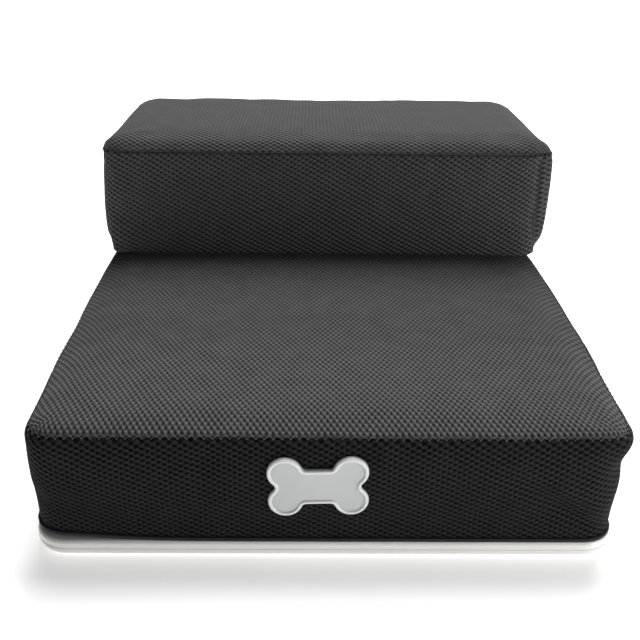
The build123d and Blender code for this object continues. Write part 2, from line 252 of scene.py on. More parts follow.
class Recipe:
    """Adds and links the shader nodes of one material."""

    def __init__(self, name: str) -> None:
        """Starts a material with its usual shader.

        Args:
            name: name of the material.
        """
        self.material = bpy.data.materials.new(name)
        self.material.use_nodes = True
        self.tree = self.material.node_tree
        self.shader = self.tree.nodes["Principled BSDF"]

    def node(self, kind: str, inputs: dict, **settings: object) -> bpy.types.Node:
        """Adds a node, sets its options, and links or sets its inputs.

        Args:
            kind: the node's type.
            inputs: sockets or plain values by input.
            settings: the node's own options.

        Returns:
            The node.
        """
        made = self.tree.nodes.new(kind)
        for key, value in settings.items():
            setattr(made, key, value)
        for key, value in inputs.items():
            self.feed(made, key, value)
        return made

    def feed(self, node: bpy.types.Node, key: object, value: object) -> None:
        """Links a socket to one of a node's inputs, or sets it to a plain value."""
        if isinstance(value, bpy.types.NodeSocket):
            self.tree.links.new(value, node.inputs[key])
        else:
            node.inputs[key].default_value = value

    def math(self, operation: str, first: object, second: object = 0.0) -> bpy.types.NodeSocket:
        """One step of arithmetic."""
        return self.node("ShaderNodeMath", {0: first, 1: second}, operation=operation).outputs[0]

    def place(self) -> bpy.types.NodeSocket:
        """Object coordinates."""
        return self.node("ShaderNodeTexCoord", {}).outputs["Object"]

    def noise(self, scale: float, detail: float = 2.0) -> bpy.types.NodeSocket:
        """Noise on object coordinates, between 0 and 1."""
        settings = {"Vector": self.place(), "Scale": scale, "Detail": detail}
        return self.node("ShaderNodeTexNoise", settings).outputs[0]

    def drift(self, scale: float, detail: float, reach: float) -> bpy.types.NodeSocket:
        """Noise about zero that spans the given reach."""
        return self.math("MULTIPLY", self.math("SUBTRACT", self.noise(scale, detail), 0.5), reach)

    def span(self, value: object, start: float, end: float, low: float, high: float) -> bpy.types.NodeSocket:
        """Number that goes smoothly from low at start to high at end."""
        ends = {0: value, 1: start, 2: end, 3: low, 4: high}
        return self.node("ShaderNodeMapRange", ends, interpolation_type="SMOOTHSTEP").outputs[0]

    def ramp(
        self, value: object, low: Colour, high: Colour, start: float, end: float
    ) -> bpy.types.NodeSocket:
        """Colour that goes smoothly from low at start to high at end.

        Args:
            value: the number that is followed.
            low: colour at start.
            high: colour at end.
            start: where the change begins.
            end: where it is complete.

        Returns:
            The colour.
        """
        share = self.span(value, start, end, 0.0, 1.0)
        mix = self.node("ShaderNodeMix", {0: share}, data_type="RGBA")
        mix.inputs[6].default_value = (*low, 1.0)
        mix.inputs[7].default_value = (*high, 1.0)
        return mix.outputs[2]

    def bump(self, height: object, depth: float, strength: float = 1.0) -> None:
        """Relief of the given depth in metres."""
        made = self.node("ShaderNodeBump", {"Height": height, "Distance": depth, "Strength": strength})
        self.feed(self.shader, "Normal", made.outputs[0])

    def surface(self, **values: object) -> None:
        """Sets the shader's inputs; an underscore in a name stands for a space."""
        for key, value in values.items():
            self.feed(self.shader, key.replace("_", " "), value)


@dataclass(frozen=True)
class Finish:
    """Plain material with a slight, even grain."""

    name: str
    colour: Colour
    roughness: float
    metallic: float = 0.0
    coat: float = 0.0
    grain: float = 0.0
    grain_scale: float = 900.0
    mottle: float = 0.08

    def material(self) -> bpy.types.Material:
        """Builds the material.

        Returns:
            The material.
        """
        recipe = Recipe(self.name)
        low = tuple(part * (1 - self.mottle) for part in self.colour)
        recipe.surface(
            Base_Color=recipe.ramp(recipe.noise(25.0), low, self.colour, 0.3, 0.6),
            Roughness=self.roughness,
            Metallic=self.metallic,
            Coat_Weight=self.coat,
        )
        if self.grain:
            recipe.bump(recipe.noise(self.grain_scale, 3.0), self.grain)
        return recipe.material


@dataclass(frozen=True)
class AirMesh:
    """Warp-knitted spacer cloth: staggered oblong holes between threads, the threads of one slant heavier.

    With u and v the cloth coordinates over the hole pitch, the pattern is the weighted sum of
    cos(2 pi (u - v)) and cos(2 pi (u + v)), whose peaks are the holes. Towards the rear the pattern can fade,
    and painted shade darkens the cloth there by pushing its colour towards the hole colour.
    """

    name: str
    thread: Colour
    hole: Colour
    pitch: float = 7.0
    rise: float = 4.2
    heavy: float = 0.62
    depth: float = 0.0011
    sheen: float = 0.06
    specular: float = 0.06
    roughness: float = 0.82
    # Only the tread's copy fades: towards the rear its pattern fades and painted shade darkens it.
    faded: float = 1.0
    fade_start: float = -0.23
    fade_end: float = -0.12
    rear_shade_tone: float = 0.6
    slack: float = 3.0
    sway: float = 2.4
    patchiness: float = 0.7
    fuzz: float = 0.12

    def weave(self, recipe: Recipe) -> bpy.types.NodeSocket:
        """The pattern's height over the cloth coordinates, which wander a little.

        Args:
            recipe: the material that it becomes part of.

        Returns:
            A number that is high in the holes and low on the threads.
        """
        cloth = recipe.node("ShaderNodeUVMap", {}, uv_map="cloth").outputs[0]
        parts = recipe.node("ShaderNodeSeparateXYZ", {0: cloth})
        turns = 2 * math.pi
        along = recipe.math("ADD", parts.outputs[0], recipe.drift(14.0, 2.0, self.slack))
        across = recipe.math("ADD", parts.outputs[1], recipe.drift(19.0, 1.0, self.sway))
        along = recipe.math("MULTIPLY", along, turns / self.pitch)
        across = recipe.math("MULTIPLY", across, turns / self.rise)
        one = recipe.math("COSINE", recipe.math("SUBTRACT", along, across))
        other = recipe.math("COSINE", recipe.math("ADD", along, across))
        one = recipe.math("MULTIPLY", one, self.heavy)
        other = recipe.math("MULTIPLY", other, 1 - self.heavy)
        return recipe.math("ADD", one, other)

    def material(self) -> bpy.types.Material:
        """Builds the material.

        Returns:
            The material.
        """
        recipe = Recipe(self.name)
        weave = self.weave(recipe)
        # Painted shade: towards the rear the weave fades and the colour is pushed towards the dark hole
        # colour.
        depth = recipe.node("ShaderNodeSeparateXYZ", {0: recipe.place()}).outputs[1]
        clear = recipe.span(depth, self.fade_start, self.fade_end, 1.0, self.faded)
        painted_rear_shade = recipe.math("MULTIPLY", recipe.math("SUBTRACT", 1.0, clear), self.rear_shade_tone)
        patchy = recipe.math("ADD", weave, recipe.drift(60.0, 3.0, self.patchiness))
        shown = recipe.math("ADD", recipe.math("MULTIPLY", patchy, clear), painted_rear_shade)
        recipe.surface(
            Base_Color=recipe.ramp(shown, self.thread, self.hole, -0.35, 0.85),
            Roughness=self.roughness,
            Sheen_Weight=self.sheen,
            Sheen_Roughness=0.5,
            Specular_IOR_Level=self.specular,
        )
        fibre = recipe.math("MULTIPLY", recipe.noise(2600.0), self.fuzz)
        relief = recipe.math("SUBTRACT", fibre, recipe.math("MULTIPLY", weave, clear))
        recipe.bump(relief, self.depth, 0.9)
        return recipe.material


# One black air mesh in four copies, their tones set per piece as lit and shaded copies of one cloth. The
# tread, upper wall and upper top copies differ only slightly; the lower wall copy is painted about three
# times darker as painted shade.
TREAD_MESH = AirMesh(
    "tread_air_mesh", (0.087, 0.087, 0.088), (0.016, 0.016, 0.016), heavy=0.5, faded=0.5
)
# Painted shade: the same cloth as the other pieces, darkened because its face is turned away from the light.
LOWER_WALL_SHADED_MESH = AirMesh(
    "lower_wall_painted_shade_air_mesh", (0.024, 0.024, 0.0242), (0.0025, 0.0025, 0.0025), sheen=0.0
)
UPPER_MESH = AirMesh("upper_wall_air_mesh", (0.084, 0.084, 0.085), (0.022, 0.022, 0.022))
TOP_MESH = AirMesh(
    "upper_top_air_mesh", (0.080, 0.080, 0.081), (0.022, 0.022, 0.022), heavy=0.5, depth=0.0008
)
THREAD = Finish("seam_thread", (0.075, 0.075, 0.076), 0.7, mottle=0.6)
DARK_THREAD = Finish("dark_thread", (0.03, 0.03, 0.03), 0.75, mottle=0.4)
BINDING = Finish("hem_binding_cloth", (0.012, 0.012, 0.012), 0.85, grain=0.0004)
PIPING = Finish("upper_piping_cloth", (0.03, 0.03, 0.03), 0.85, grain=0.0005)

SLOT_FINISHES = {
    "mesh_cloth": UPPER_MESH,
    "hem_cloth": BINDING,
    "white_tray": Finish("white_tray_plastic", (0.90, 0.885, 0.85), 0.3, coat=0.3, mottle=0.02),
    "rubber_pad": Finish("rubber", (0.03, 0.03, 0.03), 0.75, grain=0.0002),
    "board": Finish("moulded_board", (0.06, 0.06, 0.065), 0.55, grain=0.0003, grain_scale=500.0),
    "hinge_steel": Finish("hinge_steel", (0.55, 0.55, 0.56), 0.32, metallic=1.0),
    "foam": Finish("foam", (0.72, 0.70, 0.64), 0.95, grain=0.0008, grain_scale=400.0),
    "fastening_tape": Finish("fastening_tape", (0.02, 0.02, 0.02), 0.95, grain=0.0012, grain_scale=1400.0),
    "badge": Finish("badge_plastic", (0.50, 0.51, 0.51), 0.4, coat=0.3, mottle=0.04),
    "badge_edge": Finish("badge_edge_plastic", (0.74, 0.74, 0.75), 0.3, coat=0.4, mottle=0.02),
    "zip_tape": Finish("zip_tape_cloth", (0.012, 0.012, 0.0125), 0.9, grain=0.0005, grain_scale=1600.0),
    "zip_coil": Finish("zip_coil_nylon", (0.03, 0.03, 0.03), 0.4),
    "zip_metal": Finish("zip_metal_black", (0.05, 0.05, 0.05), 0.35, metallic=0.6),
}


class Wardrobe:
    """Makes each finish's material once and puts it on pieces."""

    def __init__(self) -> None:
        """Starts empty."""
        self.made: dict[str, bpy.types.Material] = {}

    def dress(self, piece: bpy.types.Object, finish: Finish | AirMesh) -> None:
        """Gives a piece one finish in place of whatever it has.

        Args:
            piece: the object.
            finish: what it is made of.
        """
        if finish.name not in self.made:
            self.made[finish.name] = finish.material()
        piece.data.materials.clear()
        piece.data.materials.append(self.made[finish.name])

    def dress_frame(self) -> None:
        """Gives every CAD node the finish of its material slot."""
        for subpart in frame["record"]["subparts"]:
            self.dress(frame["nodes"][subpart["node"]], SLOT_FINISHES[subpart["material_slot"]])


WARDROBE = Wardrobe()


def enter(
    piece: bpy.types.Object, body: str, slot: str, finish: Finish | AirMesh, *nodes: str
) -> bpy.types.Object:
    """Dresses a finished piece, ties it to its body, and hides the CAD nodes it stands for.

    Args:
        piece: the object.
        body: CAD body that it moves with.
        slot: not used.
        finish: what it is made of.
        nodes: CAD nodes that it replaces.

    Returns:
        The same object.
    """
    WARDROBE.dress(piece, finish)
    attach(piece, body)
    if nodes:
        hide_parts(*nodes)
    LOG.info("%s: %d faces, on %s", piece.name, len(piece.data.polygons), body)
    return piece


# ---------------------------------------------------------------- cloth-covered boxes


@dataclass(frozen=True)
class CoverShape:
    """Outer surface of one cloth-covered box, in millimetres.

    A point is a place on the flat middle of the top, a level direction outwards from it and a reach in that
    direction. The reach runs over the rounded top edge to the seam, down the wall, and in under the foot.
    """

    left: float
    right: float
    front: float
    rear: float
    bottom: float
    top_front: float
    top_rear: float
    corner: float
    edge: float
    foot: float
    seam: float
    crown: float
    slope_cells: int
    tuck: float = 1.3
    cloth_across: bool = False
    spacing: float = 5.0
    top_rows: tuple[float, ...] = (0.0, 0.9, 2.4, 5.4, 9.5, 14.5)
    wall_steps: tuple[float, ...] = (0.0, 0.9, 2.4, 5.4, 9.5, 14.0)
    foot_turn: float = math.radians(80)
    seam_width: float = 1.5

    @property
    def flat(self) -> float:
        """Reach at which the top edge begins to round over."""
        return self.corner - self.edge

    def line(self, low: float, high: float) -> Array:
        """Grid places across the top between two sides: even in the middle, closer together at the seams.

        Args:
            low: place of one side.
            high: place of the other side.

        Returns:
            Places in rising order.
        """
        end = self.flat + self.edge * self.seam
        outer = end - np.array(self.top_rows)
        outer = outer[outer > 1.5]
        count = int(round((high - low - 2 * self.corner) / self.spacing))
        middle = np.linspace(low + self.corner, high - self.corner, count + 1)
        return np.concatenate([low + self.corner - outer, middle, high - self.corner + outer[::-1]])

    def top_height(self, y: Array) -> Array:
        """Height of the top's plane, which slopes from front to rear."""
        share = (y - self.front) / (self.rear - self.front)
        return self.top_front + (self.top_rear - self.top_front) * share

    def panel_grid(self) -> tuple[Array, Array, Array, Array]:
        """The top's grid: places, nearest places of the flat middle, outward directions and reaches.

        Returns:
            Arrays over rows and columns; the first three hold x and y, the last one number a point.
        """
        x, y = np.meshgrid(self.line(self.left, self.right), self.line(self.front, self.rear))
        place = np.stack([x, y], -1)
        core = np.stack(
            [
                np.clip(x, self.left + self.corner, self.right - self.corner),
                np.clip(y, self.front + self.corner, self.rear - self.corner),
            ],
            -1,
        )
        away = place - core
        length = np.linalg.norm(away, axis=-1, keepdims=True)
        out = away / np.maximum(length, 1e-9)
        return place, core, out, np.abs(away).max(axis=-1)

    def rim(self) -> Array:
        """Numbers of the top grid's outermost points, once round from the rear left and closed.

        Returns:
            Point numbers, counted row by row.
        """
        _, _, _, reach = self.panel_grid()
        rows, columns = reach.shape
        numbers = np.arange(rows * columns).reshape(rows, columns)
        ring = [numbers[::-1, 0], numbers[0, 1:], numbers[1:, -1], numbers[-1, -2::-1]]
        return np.concatenate(ring)

    def panel(self) -> Patch:
        """Top panel up to the seam: flat middle, then a quarter-round edge, with cloth laid front to rear.

        Returns:
            The panel.
        """
        place, core, out, reach = self.panel_grid()
        turn = np.clip((reach - self.flat) / self.edge, 0, math.pi / 2)
        level = np.minimum(reach, self.flat) + self.edge * np.sin(turn)
        xy = core + out * level[..., None]
        z = self.top_height(xy[..., 1]) - self.edge * (1 - np.cos(turn))
        points = self.shaped(np.concatenate([xy, z[..., None]], -1), out, turn, np.zeros_like(z))
        cloth = place if self.cloth_across else place[..., ::-1].copy()
        return Patch(points, cloth, Facing.ALONG)

    def wall_rows(self) -> tuple[Array, Array, Array, Array]:
        """Rows of the wall from the seam down: reach, share of height, height offset and turn from level.

        Returns:
            Four arrays with one number a row.
        """
        first = np.array(self.wall_steps) / self.edge + self.seam
        first = first[first < math.pi / 2 - 0.12]
        height = (self.top_front + self.top_rear) / 2 - self.edge - self.bottom - self.foot
        count = int(round(height / self.spacing))
        share = np.linspace(1, 0, count + 1)
        under = np.linspace(0, self.foot_turn, 6)[1:] if self.foot else np.array([])
        reach = [
            self.flat + self.edge * np.sin(first),
            np.full(count + 1, self.corner),
            self.corner - self.foot * (1 - np.cos(under)),
        ]
        weight = [np.ones(len(first)), share, np.zeros(len(under))]
        offset = [self.edge * np.cos(first), np.zeros(count + 1), -self.foot * np.sin(under)]
        turn = [first, np.full(count + 1, math.pi / 2), math.pi / 2 + under]
        return tuple(np.concatenate(part) for part in (reach, weight, offset, turn))

    def walls(self) -> Patch:
        """Wall band from the seam down to its hem, one closed strip with the cloth's rows nearly level.

        Returns:
            The band.
        """
        _, core, out, _ = self.panel_grid()
        rim = self.rim()
        core, out = core.reshape(-1, 2)[rim], out.reshape(-1, 2)[rim]
        reach, weight, offset, turn = (part[:, None] for part in self.wall_rows())
        xy = core[None] + out[None] * reach[..., None]
        high = self.top_height(xy[..., 1]) - self.edge
        z = weight * high + (1 - weight) * (self.bottom + self.foot) + offset
        level = np.broadcast_to(turn, z.shape)
        down = np.broadcast_to(1 - weight, z.shape)
        out = np.broadcast_to(out, xy.shape)
        points = self.shaped(np.concatenate([xy, z[..., None]], -1), out, level, down)
        return Patch(points, self.wall_cloth(core, out[0], z), Facing.AGAINST)

    def wall_cloth(self, core: Array, out: Array, z: Array) -> Array:
        """Cloth coordinates of the wall band: round the box, a whole number of holes long, and down it.

        Args:
            core: nearest places of the flat middle, once round.
            out: level unit vectors pointing outwards.
            z: heights over rows and columns.

        Returns:
            Distances along and down the cloth, in millimetres.
        """
        outline = core + out * self.corner
        along = np.concatenate([[0.0], np.cumsum(np.linalg.norm(np.diff(outline, axis=0), axis=1))])
        cells = round(along[-1] / UPPER_MESH.pitch)
        along = along * (cells * UPPER_MESH.pitch / along[-1])
        slope = self.slope_cells * UPPER_MESH.rise / along[-1]
        steps = np.maximum(np.abs(np.diff(z[:, :1], axis=0)), 0.5)
        down = np.concatenate([[[0.0]], np.cumsum(steps, axis=0)])
        return np.stack(np.broadcast_arrays(along[None], down - slope * along[None]), -1)

    def shaped(self, points: Array, out: Array, turn: Array, down: Array) -> Array:
        """Moves the plain box's points by the cushion's own fullness.

        Args:
            points: places on the plain box.
            out: level unit vectors pointing outwards.
            turn: how far the surface has turned over from level, in radians.
            down: 0 at the top of the wall to 1 at its foot.

        Returns:
            Places on the cushion.
        """
        middle = np.array([(self.left + self.right) / 2, (self.front + self.rear) / 2])
        half = np.array([self.right - self.left, self.rear - self.front]) / 2
        share = np.clip(np.abs(points[..., :2] - middle) / half, 0, 1)
        dome = (1 - share[..., 0] ** 4) * (1 - share[..., 1] ** 4)
        rough = unevenness(points, 110.0, SEED) * 0.5 + unevenness(points, 48.0, SEED + 1) * 0.2
        lift = self.crown * dome + rough * smoothstep(0.0, 0.25, dome)
        side = self.fullness(points, out, down) * np.sin(np.clip(turn, 0, math.pi / 2))
        side = side - self.crease(points, turn)
        moved = points.copy()
        moved[..., :2] += out * side[..., None]
        moved[..., 2] += lift * np.cos(np.clip(turn, 0, math.pi / 2)) + self.rise(points, down)
        return moved

    def crease(self, points: Array, turn: Array) -> Array:
        """How far the seam is drawn in."""
        return self.tuck * hump(self.seam, self.seam_width / self.edge, turn)

    def fullness(self, points: Array, out: Array, down: Array) -> Array:
        """How far the walls stand out."""
        raise NotImplementedError

    def rise(self, points: Array, down: Array) -> Array:
        """How far the cloth is lifted."""
        return np.zeros(points.shape[:-1])

    def seam_path(self) -> tuple[Array, Array]:
        """The seam's line and its outward directions, once round, in millimetres.

        Returns:
            Places (count, 3) and level directions (count, 2), first and last the same.
        """
        walls = self.walls()
        _, _, out, _ = self.panel_grid()
        return walls.points[0], out.reshape(-1, 2)[self.rim()]


@dataclass(frozen=True)
class LowerCover(CoverShape):
    """The lower cushion: its right top edge stands out over a dent, its hem is lifted at the front left."""

    calm: float = 31.0
    swell: float = 1.2
    roughness: float = 0.9
    lip: float = 4.4
    lip_height: float = 91.0
    dent: float = 1.4
    dent_height: float = 69.0
    bow: float = 8.5
    ridge: float = 3.0
    valley: float = 3.4
    fold_x: float = 160.0
    fold_z: float = 40.0
    fold_fall: float = 0.58
    fold_slant: float = 0.81
    hem_lift: float = 5.5

    def fold(self, points: Array, out: Array) -> Array:
        """A slanting valley with a ridge above it, low on the front near its right end.

        Args:
            points: places on the plain box, in millimetres.
            out: level unit vectors pointing outwards.

        Returns:
            One distance in millimetres for each point.
        """
        x, z = points[..., 0] - self.fold_x, points[..., 2] - self.fold_z
        across = x * self.fold_fall + z * self.fold_slant
        along = x * self.fold_slant - z * self.fold_fall
        depth = self.ridge * hump(15.0, 12.0, across) - self.valley * hump(0.0, 6.0, across)
        front = smoothstep(0.6, 0.95, -out[..., 1]) * smoothstep(16.0, 28.0, points[..., 2])
        return depth * hump(0.0, 42.0, along) * front

    def fullness(self, points: Array, out: Array, down: Array) -> Array:
        """A slight swell all round but for the rear, with the lip and dent of the right side and the fold.

        Args:
            points: places on the plain box, in millimetres.
            out: level unit vectors pointing outwards.
            down: 0 at the top of the wall to 1 at its foot.

        Returns:
            One distance in millimetres for each point.
        """
        _, y, z = np.moveaxis(points, -1, 0)
        rear = out[..., 1] > 0.9
        swell = self.swell * np.sin(math.pi * np.clip(down, 0, 1)) * (1 - 0.9 * rear)
        swell = swell * smoothstep(self.calm, 55.0, z)
        rough = unevenness(points, 90.0, SEED + 2) * (self.roughness - 0.8 * rear)
        rough = rough * smoothstep(self.calm, 50.0, z)
        right = smoothstep(0.25, 0.8, out[..., 0]) * smoothstep(120.0, -120.0, y)
        lip = self.lip * hump(self.lip_height, 13.0, z) - self.dent * hump(self.dent_height, 8.0, z)
        depth = np.clip((y - self.front) / (self.rear - self.front), 0, 1)
        bow = self.bow * np.abs(out[..., 0]) * np.sin(math.pi * depth) * smoothstep(16.0, 70.0, z)
        return swell + right * lip + bow + rough + self.fold(points, out)

    def rise(self, points: Array, down: Array) -> Array:
        """The hem's lift off the tray, which fades away from the front left corner.

        Args:
            points: places on the plain box, in millimetres.
            down: 0 at the top of the wall to 1 at its foot.

        Returns:
            One distance in millimetres for each point.
        """
        x, y, _ = np.moveaxis(points, -1, 0)
        far = np.hypot((x - self.left) / 60.0, (y - self.front) / 90.0)
        return self.hem_lift * np.exp(-(far**2)) * smoothstep(0.0, 1.0, down) ** 2


@dataclass(frozen=True)
class UpperCover(CoverShape):
    """The upper cushion: its right side is a separate panel that bulges beyond an upright groove."""

    swell: float = 1.0
    roughness: float = 0.8
    left_swell: float = 3.6
    right_swell: float = 5.2
    right_shoulder: float = 1.8
    right_loss: float = 1.5
    groove: float = 2.8
    groove_turn: float = 0.56
    flare: float = 8.0
    front_foot: float = 5.0
    side_tuck: float = 5.0

    def sides(self, out: Array, down: Array) -> Array:
        """How far the side walls stand out: low on the left, high on the right, less at the foot.

        Args:
            out: level unit vectors pointing outwards.
            down: 0 at the top of the wall to 1 at its foot.

        Returns:
            One distance in millimetres for each point.
        """
        left = smoothstep(0.2, 0.9, -out[..., 0]) * self.left_swell * smoothstep(0.1, 0.75, down)
        right = self.right_swell + self.right_shoulder * smoothstep(0.0, 0.06, down) - self.right_loss * down
        side = smoothstep(0.5, 0.95, np.abs(out[..., 0]))
        tuck = self.side_tuck * side * smoothstep(0.8, 1.0, down) ** 2
        return left + right * smoothstep(0.6, 0.95, out[..., 0]) - tuck

    def fullness(self, points: Array, out: Array, down: Array) -> Array:
        """Swell, sides, a flare at the rear top, a full front foot and the side panel's grooves.

        Args:
            points: places on the plain box, in millimetres.
            out: level unit vectors pointing outwards.
            down: 0 at the top of the wall to 1 at its foot.

        Returns:
            One distance in millimetres for each point.
        """
        swell = self.swell * np.sin(math.pi * np.clip(down, 0, 1))
        rough = unevenness(points, 80.0, SEED + 3) * self.roughness * smoothstep(0.0, 0.15, down)
        flare = self.flare * smoothstep(50.0, 250.0, points[..., 1])
        flare = flare * smoothstep(0.3, 0.9, np.abs(out[..., 0])) * (1 - 0.8 * smoothstep(0.0, 0.8, down))
        front = self.front_foot * smoothstep(0.5, 0.95, -out[..., 1]) * smoothstep(0.6, 0.95, down)
        groove = self.groove * hump(self.groove_turn, 0.13, out[..., 0]) * (np.abs(out[..., 1]) > 0.2)
        groove = groove * smoothstep(0.0, 0.05, down) * smoothstep(1.0, 0.75, down)
        return swell + self.sides(out, down) + flare + front - groove + rough


LOWER = LowerCover(
    left=-200.0,
    right=200.0,
    front=-267.0,
    rear=267.0,
    bottom=15.7,
    top_front=100.3,
    top_rear=100.3,
    corner=22.0,
    edge=13.0,
    foot=0.0,
    seam=math.radians(52),
    crown=1.2,
    slope_cells=-40,
)
UPPER = UpperCover(
    left=-205.0,
    right=208.0,
    front=35.0,
    rear=267.0,
    bottom=101.6,
    top_front=212.5,
    top_rear=201.5,
    corner=16.0,
    edge=13.0,
    foot=4.5,
    seam=math.radians(84),
    crown=1.5,
    slope_cells=-35,
    tuck=0.6,
    cloth_across=True,
)


@dataclass(frozen=True)
class ClothRelaxer:
    """Lets padded cloth puff out a little under pressure from inside, held along its seams."""

    pressure: float = 4.0
    frames: int = 20
    hold: float = 3.5
    quality: int = 6
    mass: float = 0.25
    stiffness: float = 12.0
    shear: float = 6.0
    bending: float = 1.2
    batches: int = 24

    def pin(self, piece: bpy.types.Object, seams: Array) -> None:
        """Holds the points near the given seam line.

        Args:
            piece: the object.
            seams: places of the seam line, (count, 3), in millimetres.
        """
        count = len(piece.data.vertices)
        points = np.empty(count * 3, np.float32)
        piece.data.vertices.foreach_get("co", points)
        points = points.reshape(-1, 3)
        group = piece.vertex_groups.new(name="held")
        near = np.zeros(count, bool)
        for part in np.array_split(seams * MM, self.batches):
            near |= (np.linalg.norm(points[:, None] - part[None], axis=-1) < self.hold * MM).any(axis=1)
        group.add(np.flatnonzero(near).tolist(), 1.0, "REPLACE")

    def cloth(self, piece: bpy.types.Object, growth: float) -> None:
        """Adds the simulation to a piece.

        Args:
            piece: the object.
            growth: spare cloth as a share.
        """
        added = piece.modifiers.new("Relax", "CLOTH")
        settings = added.settings
        settings.quality = self.quality
        settings.mass = self.mass
        settings.tension_stiffness = settings.compression_stiffness = self.stiffness
        settings.shear_stiffness = self.shear
        settings.bending_stiffness = self.bending
        settings.use_pressure = True
        settings.uniform_pressure_force = self.pressure
        settings.shrink_min = -growth
        settings.vertex_group_mass = "held"
        settings.effector_weights.gravity = 0.0
        added.collision_settings.use_collision = False
        added.point_cache.frame_start = 1
        added.point_cache.frame_end = self.frames

    def run(self, pieces: list[tuple[bpy.types.Object, Array, float, float]]) -> None:
        """Simulates pieces together and keeps how far each point moved, up to a cap.

        Args:
            pieces: for each, the object, its seam lines, its spare cloth as a share, and the cap in mm.
        """
        scene = bpy.context.scene
        for piece, seams, growth, _ in pieces:
            self.pin(piece, seams)
            self.cloth(piece, growth)
        scene.frame_start, scene.frame_end = 1, self.frames
        for number in range(1, self.frames + 1):
            scene.frame_set(number)
        graph = bpy.context.evaluated_depsgraph_get()
        for piece, _, _, cap in pieces:
            rest = np.empty(len(piece.data.vertices) * 3, np.float32)
            piece.data.vertices.foreach_get("co", rest)
            moved = np.empty_like(rest)
            piece.evaluated_get(graph).data.vertices.foreach_get("co", moved)
            shift = (moved - rest).reshape(-1, 3)
            length = np.linalg.norm(shift, axis=1, keepdims=True)
            shift *= np.tanh(length / (cap * MM)) * cap * MM / np.maximum(length, 1e-9)
            LOG.info("%s moved %.1f mm at most", piece.name, float(length.max()) / MM)
            piece.modifiers.clear()
            piece.vertex_groups.clear()
            piece.data.vertices.foreach_set("co", rest + shift.ravel())
            piece.data.update()
        scene.frame_set(1)


